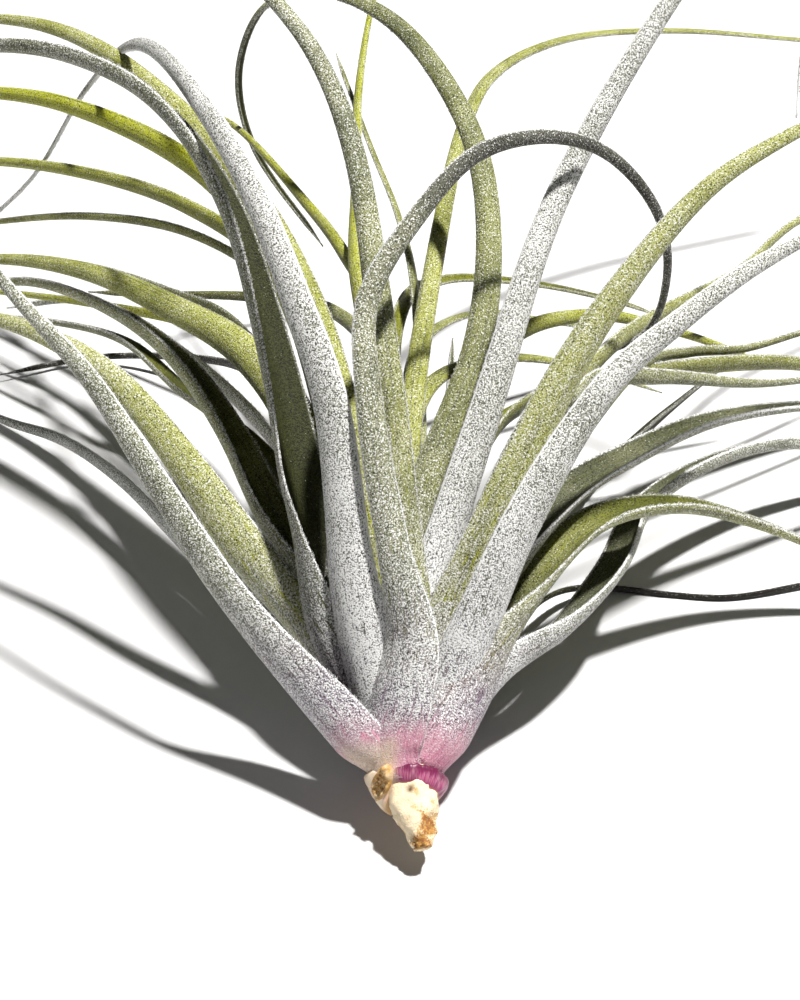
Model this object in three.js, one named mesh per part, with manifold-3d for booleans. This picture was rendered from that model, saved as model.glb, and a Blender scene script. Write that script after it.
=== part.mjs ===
// Tillandsia stricta, an air plant lying on a surface with its stub towards -Y.
// Millimetres, +Z up. The origin is on the surface, under the middle of the plant's box.
import * as THREE from "three";
import Module from "manifold-3d";

const wasm = await Module();
wasm.setup();

// The middle of the plant's box, measured from the point under its collar
const PLANT_MIDDLE = new THREE.Vector3(-3.5, 83, 0);

const REACH = 400;

// Driving dimensions of the plant's axis and stem
const AXIS_RISE = THREE.MathUtils.degToRad(28);
const COLLAR = new THREE.Vector3(0, -8, 10);
const HEART_HEIGHT = 26;
const COLLAR_RADIUS = 5.2;
const HEART_RADIUS = 1.6;
const STUB_SIDES = 12;
const STUB_POINTS = [
  [2.2, -20, 6.2],
  [1.9, -17, 7.4],
  [0.9, -13, 9],
  [0, -8, 10],
];
const STUB_RADII = [1.6, 3.2, 4.2, 5.0];
const STUB_KNOBS = 0.12;

// Driving dimensions of a leaf: its place on the stem, its sheath and its channelled section
const GAP = 0.3;
const ROOT_LOW = -3.5;
const ROOT_HIGH = 20;
const SHEATH_RADIUS = 7.2;
const INNER_SHEATH_RADIUS = 3;
const OUTER_SHEATH_EXTRA = 7;
const INNER_SHEATH_EXTRA = 1;
const SHEATH_BROAD = 10;
const SHEATH_END = 40;
const BLADE_THICKNESS = 0.9;
const EDGE_THICKNESS = 0.6;
const TIP_WIDTH = 1.3;
const BLADE_CURL = 44;
const MIDDLE_CURL = 62;
const TIP_CURL = 100;
const MIDDLE_SHARE = 0.5;
const LEAST_INNER_RADIUS = 0.08;
const MOST_CURL = 167;
const STATION_SPACING = 12.6;
const ROLLING_SPACING = 9;
const ROLLING_LEAN = 60;
const NARROW_BLADE = 7.1;
const LEAN_START = 12;
const LEAN_END = 50;

// Taper is how soon a blade narrows, and fold how much more than usual its channel is folded. In
// degrees, turn is its twist by the tip, and lean is how far it rolls over above its sheath.
const USUAL_LEAF = { taper: 1.1, fold: 1, turn: 0, lean: 0 };

// The leaves from the outermost sheath inwards. A path lists points on the midrib beyond the root,
// measured from the point under the collar. Wide is the flat width of the blade above the sheath.
// The rest is listed only where a leaf differs.
const LEAVES = [
  {
    name: "leaf_curl", finish: "silver", wide: 7.1, taper: 1.4, turn: 90, lean: 25, sheath: 6,
    path: [[-4.2, -9, 17.8], [-2.4, -6, 24.5], [0, -1.8, 34], [-2.2, 4, 46.5], [-5.8, 16, 67],
      [-6, 27, 78], [2, 38, 87], [11, 46, 93], [22, 52, 93], [33, 58, 87], [42, 60, 76],
      [46, 64, 61], [44, 67, 47], [34, 71, 38]],
  },
  {
    name: "leaf_left_front", finish: "silver", wide: 11.5, lean: 15, sheath: 5.5,
    path: [[-19, -1, 24], [-31, 7, 39], [-41, 16, 52], [-51, 26, 64], [-63, 38, 71], [-73, 50, 75],
      [-82, 60, 73]],
  },
  {
    name: "leaf_right_front", finish: "lime", wide: 15, taper: 1, fold: 1.4, lean: 72,
    path: [[13.3, 1, 19.8], [20, 12, 27], [30, 24, 34], [45, 33, 32], [62, 40, 23], [80, 42, 13],
      [92, 40, 7]],
  },
  {
    name: "leaf_under_middle", finish: "olive", wide: 7,
    path: [[0, 7, 0.3], [1, 17, 0.3], [3, 40, 2], [7, 80, 2], [10, 118, 0.3], [11, 138, 0.3]],
  },
  {
    name: "leaf_left_under", finish: "silver", wide: 8.5, taper: 0.8, lean: 15,
    path: [[-15, 8, 15], [-30, 27, 15], [-46, 53, 12], [-57, 70, 10], [-72, 89, 6], [-87, 102, 2],
      [-104, 116, 0.5]],
  },
  {
    name: "leaf_right_under", finish: "olive", wide: 3.2,
    path: [[16, 19, 11], [25, 38, 7], [33, 46, 3], [42, 48, 0.8], [50, 47, 0.4], [61, 46, 0.6],
      [75, 49, 1], [88, 53, 1]],
  },
  {
    name: "leaf_under_right", finish: "olive", wide: 5,
    path: [[9, 10, 4], [20, 42, 6], [36, 74, 5], [52, 100, 2], [63, 115, 0.3], [74, 128, 0.3]],
  },
  {
    name: "leaf_right_low", finish: "olive", wide: 11.5, taper: 0.5, fold: 1.4, lean: 40, sheath: 1,
    path: [[16, 5, 19], [27, 15, 20], [37, 29, 22], [43, 43, 23], [54, 55, 23], [72, 69, 19],
      [96, 81, 8]],
  },
  {
    name: "leaf_broad_silver", finish: "silver", wide: 11.4, taper: 2.1,
    path: [[-7, -2, 23], [-9.3, 4, 37], [-12.8, 19, 65], [-18, 29, 77], [-24, 41, 87],
      [-33, 59, 94], [-48, 94, 91], [-65, 126, 68], [-82, 139, 41], [-104, 150, 18]],
  },
  {
    name: "leaf_right_speckled", finish: "silver", wide: 13, taper: 1.4, lean: -20,
    path: [[9, -1, 20], [18, 10, 46], [32, 23, 65], [43, 30, 72], [56, 39, 77], [73, 51, 79],
      [92, 66, 76]],
  },
  {
    name: "leaf_right_silver", finish: "silver", wide: 8.6, taper: 0.9,
    path: [[4, 12, 30], [14, 33, 56], [25, 54, 81], [43, 75, 105], [53, 86, 113], [62, 92, 113],
      [68, 91, 107], [69, 84, 97], [67, 74, 86]],
  },
  {
    name: "leaf_left_middle", finish: "lime", wide: 13, lean: 50,
    path: [[-19, 11, 26], [-28, 20, 35], [-38, 29, 46], [-50, 40, 55], [-63, 49, 58],
      [-80, 61, 55], [-91, 69, 49]],
  },
  {
    name: "leaf_shadowed", finish: "silver", wide: 18, taper: 1.3, fold: 1.4, turn: 60, lean: -80, sheath: -2,
    path: [[-16, 8, 29], [-18.8, 22, 43], [-24.2, 39, 63], [-31.5, 54, 81], [-43, 68, 91],
      [-62, 84, 93], [-84, 99, 87], [-109, 120, 69]],
  },
  {
    name: "leaf_right_lime", finish: "lime", wide: 13, taper: 1.3, lean: -25,
    path: [[8, 7, 26], [17, 19, 48], [29, 32, 68], [47, 46, 86], [61, 54, 92], [78, 66, 93],
      [88, 74, 90]],
  },
  {
    name: "leaf_tall_silver", finish: "silver", wide: 8.2,
    path: [[-1, 16, 39], [-4, 35, 64], [-9, 58, 88], [-16, 71, 100], [-30, 90, 108],
      [-45, 125, 103]],
  },
  {
    name: "leaf_right_inner", finish: "silver", wide: 15, taper: 1.1, fold: 1.3, lean: 75,
    path: [[19, 18, 32], [27, 28, 38], [39, 37, 40], [53, 47, 40], [72, 58, 36], [95, 72, 26]],
  },
  {
    name: "leaf_left_channel", finish: "olive", wide: 18, taper: 1.2, fold: 1.5, lean: -45, sheath: -3,
    path: [[-21, 21, 30], [-32, 41, 42], [-43, 57, 48], [-58, 74, 48], [-75, 89, 44],
      [-96, 103, 31]],
  },
  {
    name: "leaf_left_wide", finish: "lime", wide: 12, lean: 30,
    path: [[-18, 36, 45], [-29, 54, 51], [-45, 72, 50], [-62, 89, 47], [-83, 106, 40],
      [-107, 123, 27]],
  },
  {
    name: "leaf_right_middle", finish: "silver", wide: 10.5, taper: 1.5, lean: 35,
    path: [[10, 10, 30], [25, 35, 45], [32, 48, 48], [47, 62, 40], [70, 78, 28], [96, 96, 19]],
  },
  {
    name: "leaf_arch_thin", finish: "lime", wide: 7.2,
    path: [[1, 20, 38], [12, 45, 59], [14, 59, 71], [12, 71, 82], [5, 84, 91], [-4, 98, 95],
      [-16, 112, 94], [-29, 127, 84], [-35, 134, 67], [-33, 138, 49], [-19, 146, 20]],
  },
  {
    name: "leaf_right_green", finish: "olive", wide: 13, taper: 0.6, lean: 55,
    path: [[13, 38, 41], [24, 53, 41], [42, 67, 36], [80, 91, 23], [106, 103, 8]],
  },
  {
    name: "leaf_left_low_olive", finish: "olive", wide: 10, lean: -40,
    path: [[-24, 41, 35], [-42, 61, 38], [-54, 77, 38], [-72, 94, 32], [-95, 111, 23]],
  },
  {
    name: "leaf_left_pale", finish: "silver", wide: 9, lean: 20,
    path: [[-21, 46, 30], [-31, 65, 31], [-49, 90, 30], [-69, 112, 26], [-88, 124, 17]],
  },
  {
    name: "leaf_left_olive", finish: "olive", wide: 8, lean: -30,
    path: [[-22, 50, 44], [-32, 71, 46], [-47, 89, 42], [-63, 108, 36], [-84, 126, 29]],
  },
  {
    name: "leaf_left_lime", finish: "lime", wide: 6,
    path: [[-19, 54, 41], [-40, 82, 38], [-60, 98, 33], [-83, 115, 26], [-96, 125, 21]],
  },
  {
    name: "leaf_left_thin", finish: "olive", wide: 6,
    path: [[-23, 75, 47], [-30, 88, 48], [-45, 104, 47], [-67, 123, 40], [-91, 141, 29],
      [-103, 150, 22]],
  },
  {
    name: "leaf_arch_olive", finish: "olive", wide: 9.5, taper: 1,
    path: [[-10.5, 30, 50], [-17.5, 50, 64], [-31, 74, 76], [-58, 108, 84], [-81, 130, 81],
      [-108, 149, 70]],
  },
  {
    name: "leaf_arch_lime", finish: "lime", wide: 10.5, taper: 0.8,
    path: [[-19, 56, 52], [-36, 88, 65], [-70, 122, 66], [-100, 143, 59], [-114, 153, 52]],
  },
  {
    name: "leaf_arch_low", finish: "olive", wide: 10, taper: 0.9,
    path: [[-23, 74, 50], [-45, 105, 52], [-89, 142, 43], [-115, 160, 31]],
  },
  {
    name: "leaf_back_tall", finish: "olive", wide: 5,
    path: [[0, 30, 45], [5, 70, 61], [12, 108, 71], [19, 127, 72], [35, 147, 70], [61, 165, 64],
      [91, 179, 56], [107, 186, 52]],
  },
  {
    name: "leaf_back_olive_right", finish: "olive", wide: 5.5,
    path: [[0, 34, 46], [5, 49, 49], [19, 62, 45], [37, 72, 35], [50, 78, 26]],
  },
  {
    name: "leaf_back_arch_right", finish: "lime", wide: 6.5,
    path: [[12, 47, 46], [21, 65, 48], [37, 79, 43], [54, 89, 33], [73, 97, 21]],
  },
  {
    name: "leaf_back_low_right", finish: "olive", wide: 5,
    path: [[0, 40, 46], [4, 76, 41], [15, 92, 36], [25, 98, 31], [41, 107, 22]],
  },
  {
    name: "leaf_back_low", finish: "olive", wide: 5,
    path: [[-2, 70, 47], [7, 95, 41], [26, 109, 32], [47, 121, 20], [57, 125, 14]],
  },
  {
    name: "leaf_back_upright", finish: "lime", wide: 6,
    path: [[-8, 58, 53], [-10, 74, 58], [-10, 95, 63], [-10, 118, 69], [-8, 144, 75],
      [-4, 173, 79]],
  },
  {
    name: "leaf_back_lime", finish: "lime", wide: 6,
    path: [[-7, 64, 53], [-13, 84, 55], [-21, 105, 54], [-34, 133, 54], [-42, 147, 53]],
  },
  {
    name: "leaf_back_thin", finish: "olive", wide: 5,
    path: [[2, 69, 52], [-1, 90, 57], [-7, 114, 61], [-15, 150, 65]],
  },
  {
    name: "leaf_back_pale", finish: "lime", wide: 7.5,
    path: [[18, 34, 38], [35, 59, 46], [45, 73, 45], [65, 94, 43], [81, 114, 44], [108, 137, 41]],
  },
  {
    name: "leaf_back_right_wide", finish: "olive", wide: 7.5,
    path: [[22, 36, 29], [44, 67, 39], [55, 78, 35], [67, 87, 30], [80, 96, 28], [95, 107, 26]],
  },
  {
    name: "leaf_back_left", finish: "olive", wide: 5.5,
    path: [[-15, 54, 44], [-18, 74, 49], [-22, 93, 50], [-29, 112, 46]],
  },
  {
    name: "leaf_back_low_left", finish: "olive", wide: 5.5,
    path: [[-4, 50, 44], [-14, 85, 40], [-33, 106, 31], [-53, 120, 23], [-71, 131, 17]],
  },
  {
    name: "leaf_back_dark_left", finish: "olive", wide: 5.5,
    path: [[-9, 40, 32], [-28, 84, 23], [-43, 115, 9], [-70, 127, 2], [-91, 120, 2]],
  },
];

const FINISHES = {
  silver: { color: 0xa7aaa0, roughness: 0.75 },
  lime: { color: 0xb3bd57, roughness: 0.65 },
  olive: { color: 0x7b8248, roughness: 0.65 },
  stem: { color: 0xe6cfa4, roughness: 0.85 },
};

const AXIS = new THREE.Vector3(0, Math.cos(AXIS_RISE), Math.sin(AXIS_RISE));

// A closed solid from rings of equally many points, whose ends are closed strip by strip
// when the ring runs out along one face and back along the other.
function ringSolid(rings) {
  const size = rings[0].length;
  const vertices = rings.flat().flatMap((p) => [p.x, p.y, p.z]);
  const faces = [];
  const last = (rings.length - 1) * size;
  for (let ring = 0; ring < rings.length - 1; ring++) {
    for (let k = 0; k < size; k++) {
      const a = ring * size + k;
      const b = ring * size + ((k + 1) % size);
      faces.push([a, b, b + size], [a, b + size, a + size]);
    }
  }
  for (let k = 0; k < size / 2 - 1; k++) {
    const [a, b, c, d] = [k, k + 1, size - 2 - k, size - 1 - k];
    faces.push([a, d, c], [a, c, b]);
    faces.push([last + a, last + c, last + d], [last + a, last + b, last + c]);
  }
  const mesh = new wasm.Mesh({
    numProp: 3,
    vertProperties: new Float32Array(vertices),
    triVerts: new Uint32Array(faces.flat()),
  });
  return new wasm.Manifold(mesh);
}

// The stem and its stub: round rings along the axis, a little knobbly.
function stemRings() {
  const rings = [];
  const centres = STUB_POINTS.map((p) => new THREE.Vector3(...p));
  const radii = [...STUB_RADII];
  centres.push(COLLAR.clone().addScaledVector(AXIS, HEART_HEIGHT / 2));
  radii.push((COLLAR_RADIUS + HEART_RADIUS) / 2);
  centres.push(COLLAR.clone().addScaledVector(AXIS, HEART_HEIGHT));
  radii.push(HEART_RADIUS);
  for (let ring = 0; ring < centres.length; ring++) {
    const ahead = centres[Math.min(ring + 1, centres.length - 1)];
    const behind = centres[Math.max(ring - 1, 0)];
    const along = ahead.clone().sub(behind).normalize();
    const side = new THREE.Vector3(1, 0, 0).cross(along).normalize();
    const across = along.clone().cross(side);
    const points = [];
    for (let k = 0; k < STUB_SIDES; k++) {
      const angle = (2 * Math.PI * k) / STUB_SIDES;
      const knob = 1 + STUB_KNOBS * Math.sin(3 * angle + 2 * ring) * Math.cos(2 * angle - ring);
      const radius = radii[ring] * knob;
      points.push(
        centres[ring]
          .clone()
          .addScaledVector(side, radius * Math.cos(angle))
          .addScaledVector(across, radius * Math.sin(angle)),
      );
    }
    rings.push(points);
  }
  return rings;
}

// Where a leaf grows from the stem: the outer ones low and wide, the inner ones higher up.
function rootOf(leaf, share) {
  const height = THREE.MathUtils.lerp(ROOT_LOW, ROOT_HIGH, share);
  const radius = THREE.MathUtils.lerp(SHEATH_RADIUS, INNER_SHEATH_RADIUS, Math.sqrt(share));
  const foot = COLLAR.clone().addScaledVector(AXIS, height);
  const first = new THREE.Vector3(...leaf.path[0]).sub(COLLAR);
  const outward = first.addScaledVector(AXIS, -first.dot(AXIS)).normalize();
  return { point: foot.addScaledVector(outward, radius), inward: outward.clone().negate(), radius };
}

function blend(from, to, share) {
  return THREE.MathUtils.lerp(from, to, THREE.MathUtils.smoothstep(share, 0, 1));
}

// The flat width of a leaf at a share of its length: a broad sheath, then a long taper.
function flatWidth(leaf, length, share) {
  const sheath = 1 - THREE.MathUtils.smoothstep(share * length, SHEATH_BROAD, SHEATH_END);
  const blade = TIP_WIDTH + (leaf.wide - TIP_WIDTH) * (1 - share) ** leaf.taper;
  return blade + leaf.sheath * sheath;
}

// Half the angle through which the section curls, in radians: round the stem at the root,
// then an open channel that closes towards the tip.
function curlAngle(leaf, root, length, share) {
  const atRoot = flatWidth(leaf, length, 0) / (2 * root.radius);
  const blade = THREE.MathUtils.degToRad(BLADE_CURL * leaf.fold);
  const middle = THREE.MathUtils.degToRad(MIDDLE_CURL * leaf.fold);
  const tip = THREE.MathUtils.degToRad(TIP_CURL);
  const sheathShare = SHEATH_END / length;
  if (share < sheathShare) return blend(atRoot, blade, share / sheathShare);
  if (share < MIDDLE_SHARE) {
    return blend(blade, middle, (share - sheathShare) / (MIDDLE_SHARE - sheathShare));
  }
  return blend(middle, tip, (share - MIDDLE_SHARE) / (1 - MIDDLE_SHARE));
}

// The rings of one leaf: a channelled section swept along its midrib with the channel facing inward
// at the stem. Grow makes every face stand out by that much, to leave a clearance round the leaf.
function leafRings(leaf, share, grow) {
  const root = rootOf(leaf, share);
  const points = [root.point, ...leaf.path.map((p) => new THREE.Vector3(...p))];
  const curve = new THREE.CatmullRomCurve3(points, false, "centripetal");
  const length = curve.getLength();
  const rings = [];
  let inward = root.inward.clone();
  const spacing = Math.abs(leaf.lean) > ROLLING_LEAN ? ROLLING_SPACING : STATION_SPACING;
  const stations = Math.round(length / spacing) + 2;
  const arcPoints = leaf.wide < NARROW_BLADE ? 3 : 4;
  for (let station = 0; station <= stations; station++) {
    const along = station / stations;
    const centre = curve.getPointAt(along);
    const tangent = curve.getTangentAt(along);
    inward.addScaledVector(tangent, -inward.dot(tangent)).normalize();
    const turned = leaf.turn * THREE.MathUtils.smoothstep(along, 0, 1);
    const leaned = leaf.lean * THREE.MathUtils.smoothstep(along * length, LEAN_START, LEAN_END);
    const twist = THREE.MathUtils.degToRad(turned + leaned);
    const facing = inward.clone().applyAxisAngle(tangent, twist);
    const across = facing.clone().cross(tangent);
    const curl = curlAngle(leaf, root, length, along);
    const radius = flatWidth(leaf, length, along) / (2 * curl);
    const half = THREE.MathUtils.lerp(BLADE_THICKNESS, EDGE_THICKNESS, along) / 2;
    const outer = radius + half + grow;
    const inner = Math.max(radius - half - grow, LEAST_INNER_RADIUS);
    const reach = Math.min(curl + grow / radius, THREE.MathUtils.degToRad(MOST_CURL));
    const arcCentre = centre.clone().addScaledVector(facing, radius);
    const arcPoint = (angle, size) =>
      arcCentre
        .clone()
        .addScaledVector(facing, -size * Math.cos(angle))
        .addScaledVector(across, size * Math.sin(angle));
    const ring = [];
    for (let k = 0; k < arcPoints; k++) {
      ring.push(arcPoint(reach * ((2 * k) / (arcPoints - 1) - 1), outer));
    }
    for (let k = arcPoints - 1; k >= 0; k--) {
      ring.push(arcPoint(reach * ((2 * k) / (arcPoints - 1) - 1), inner));
    }
    rings.push(ring);
  }
  return rings;
}

function boxSolid(low, high) {
  const rings = [low.z, high.z].map((z) => [
    new THREE.Vector3(low.x, low.y, z),
    new THREE.Vector3(high.x, low.y, z),
    new THREE.Vector3(high.x, high.y, z),
    new THREE.Vector3(low.x, high.y, z),
  ]);
  return ringSolid(rings);
}

function largestBody(solid) {
  const bodies = solid.decompose();
  return bodies.reduce((a, b) => (b.volume() > a.volume() ? b : a));
}

function addMesh(group, name, solid, finish) {
  const mesh = solid.getMesh();
  const geometry = new THREE.BufferGeometry();
  geometry.setAttribute("position", new THREE.BufferAttribute(mesh.vertProperties, 3));
  geometry.setIndex(new THREE.BufferAttribute(mesh.triVerts, 1));
  geometry.computeVertexNormals();
  const material = new THREE.MeshStandardMaterial({ ...FINISHES[finish], metalness: 0 });
  const made = new THREE.Mesh(geometry, material);
  made.name = name;
  group.add(made);
}

const plant = new THREE.Group();
plant.position.copy(PLANT_MIDDLE).negate();
const lowCorner = new THREE.Vector3(-REACH, -REACH, 0);
const aboveSurface = boxSolid(lowCorner, new THREE.Vector3(REACH, REACH, REACH));
const stem = ringSolid(stemRings()).intersect(aboveSurface);
addMesh(plant, "stem", stem, "stem");
let taken = stem;
LEAVES.forEach((own, order) => {
  const share = order / (LEAVES.length - 1);
  const sheath = THREE.MathUtils.lerp(OUTER_SHEATH_EXTRA, INNER_SHEATH_EXTRA, Math.sqrt(share));
  const leaf = { ...USUAL_LEAF, sheath, ...own };
  const whole = ringSolid(leafRings(leaf, share, 0)).intersect(aboveSurface);
  const cut = largestBody(whole.subtract(taken));
  addMesh(plant, leaf.name, cut, leaf.finish);
  taken = taken.add(ringSolid(leafRings(leaf, share, GAP)));
});

export default plant;
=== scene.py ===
"""Looks of a Tillandsia stricta, an air plant lying on a pale surface with its stub towards -Y.

Every leaf is one fine channelled blade that stands for the CAD leaf of the same name. The forms
below are worked out in millimetres from the point under the collar, and become metres at the end.
"""

import math

import bpy
import numpy as np
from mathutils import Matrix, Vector, noise


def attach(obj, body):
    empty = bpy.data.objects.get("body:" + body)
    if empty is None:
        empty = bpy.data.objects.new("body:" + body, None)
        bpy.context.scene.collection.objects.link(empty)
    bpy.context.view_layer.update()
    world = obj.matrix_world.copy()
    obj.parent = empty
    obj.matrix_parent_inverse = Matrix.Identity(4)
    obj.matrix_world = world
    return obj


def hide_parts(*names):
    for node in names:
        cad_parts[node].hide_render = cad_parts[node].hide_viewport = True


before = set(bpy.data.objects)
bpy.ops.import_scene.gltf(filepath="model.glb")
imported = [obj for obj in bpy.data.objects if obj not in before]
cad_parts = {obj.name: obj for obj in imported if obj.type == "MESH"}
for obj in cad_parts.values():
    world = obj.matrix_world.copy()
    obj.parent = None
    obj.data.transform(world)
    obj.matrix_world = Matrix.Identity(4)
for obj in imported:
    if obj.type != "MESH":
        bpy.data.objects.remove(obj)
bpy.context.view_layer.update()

MM = 0.001

# The middle of the plant's box, measured from the point under its collar
PLANT_MIDDLE = np.array((-3.5, 83, 0))

# The plant's axis and stem
AXIS_RISE = math.radians(28)
AXIS = np.array((0, math.cos(AXIS_RISE), math.sin(AXIS_RISE)))
COLLAR = np.array((0, -8, 10))
STEM_POINTS = [
    (2.2, -20, 6.2), (1.9, -17, 7.4), (0.9, -13, 9.4), (0, -8, 11), (0, 3.5, 16.1), (0, 15, 22.2),
]
STEM_RADII = [1.5, 2.8, 3.9, 4.2, 3.2, 1.6]

# Where a leaf grows from the stem, its sheath, and its channelled section, which is curled and
# stays hollow by at least a share of its radius
ROOT_LOW = -2.4
ROOT_HIGH = 20
SHEATH_RADIUS = 7.2
INNER_SHEATH_RADIUS = 3
OUTER_SHEATH_EXTRA = 7
INNER_SHEATH_EXTRA = 1
SHEATH_BROAD = 10
SHEATH_END = 40
BLADE_THICKNESS = 0.9
EDGE_THICKNESS = 0.6
TIP_WIDTH = 1.3
BLADE_CURL = math.radians(44)
MIDDLE_CURL = math.radians(62)
TIP_CURL = math.radians(100)
MIDDLE_SHARE = 0.5
HOLLOW_SHARE = 0.1

# How finely a blade is made
STATION_SPACING = 1.4
FACE_POINTS = 15
SPLINE_STEPS = 60

# How its margins round off and flare on the sheath, how its tip draws out, between which lengths
# it leans, and how it gathers at its root
MARGIN_SQUARENESS = 6
MARGIN_FLARE = 0.5
FLARE_SHARPNESS = 8
POINT_LENGTH = 9
POINT_SIZE = 0.3
LEAN_START = 12
LEAN_END = 50
ROOT_GATHER = 0.74
GATHER_LENGTH = 7

# The fuzz: how many scales stand off each millimetre of a leaf, what share of them along its
# margins, how long and thick they are, how much their lengths and directions vary, what share of
# the length those on the face have, and how much more silver they are than their leaf
SCALES_PER_MM = 12
SCALES_AT_MARGINS = 0.55
SCALE_LENGTH = 0.42
SCALE_THICKNESS = 0.045
SCALE_SHORTEST = 0.5
SCALE_LONGEST = 1.3
SCALE_SPREAD = 0.25
FACE_SCALE_SHARE = 0.6
SCALE_COVER = 0.8

# Which way they point: at a margin past it and a little off the face, on the face off it, and both
# towards the leaf's tip
MARGIN_SCALE_PAST = 0.9
MARGIN_SCALE_OFF = 0.3
FACE_SCALE_OFF = 0.5
SCALE_FORWARD = 0.7

# Taper is how soon a blade narrows, and fold how much more than usual its channel is folded. In
# degrees, turn is its twist by the tip, and lean is how far it rolls over above its sheath. Bare
# makes it greener, with fewer scales, above the sheath.
USUAL_LEAF = dict(taper=1.1, fold=1, turn=0, lean=0, bare=0)

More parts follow.
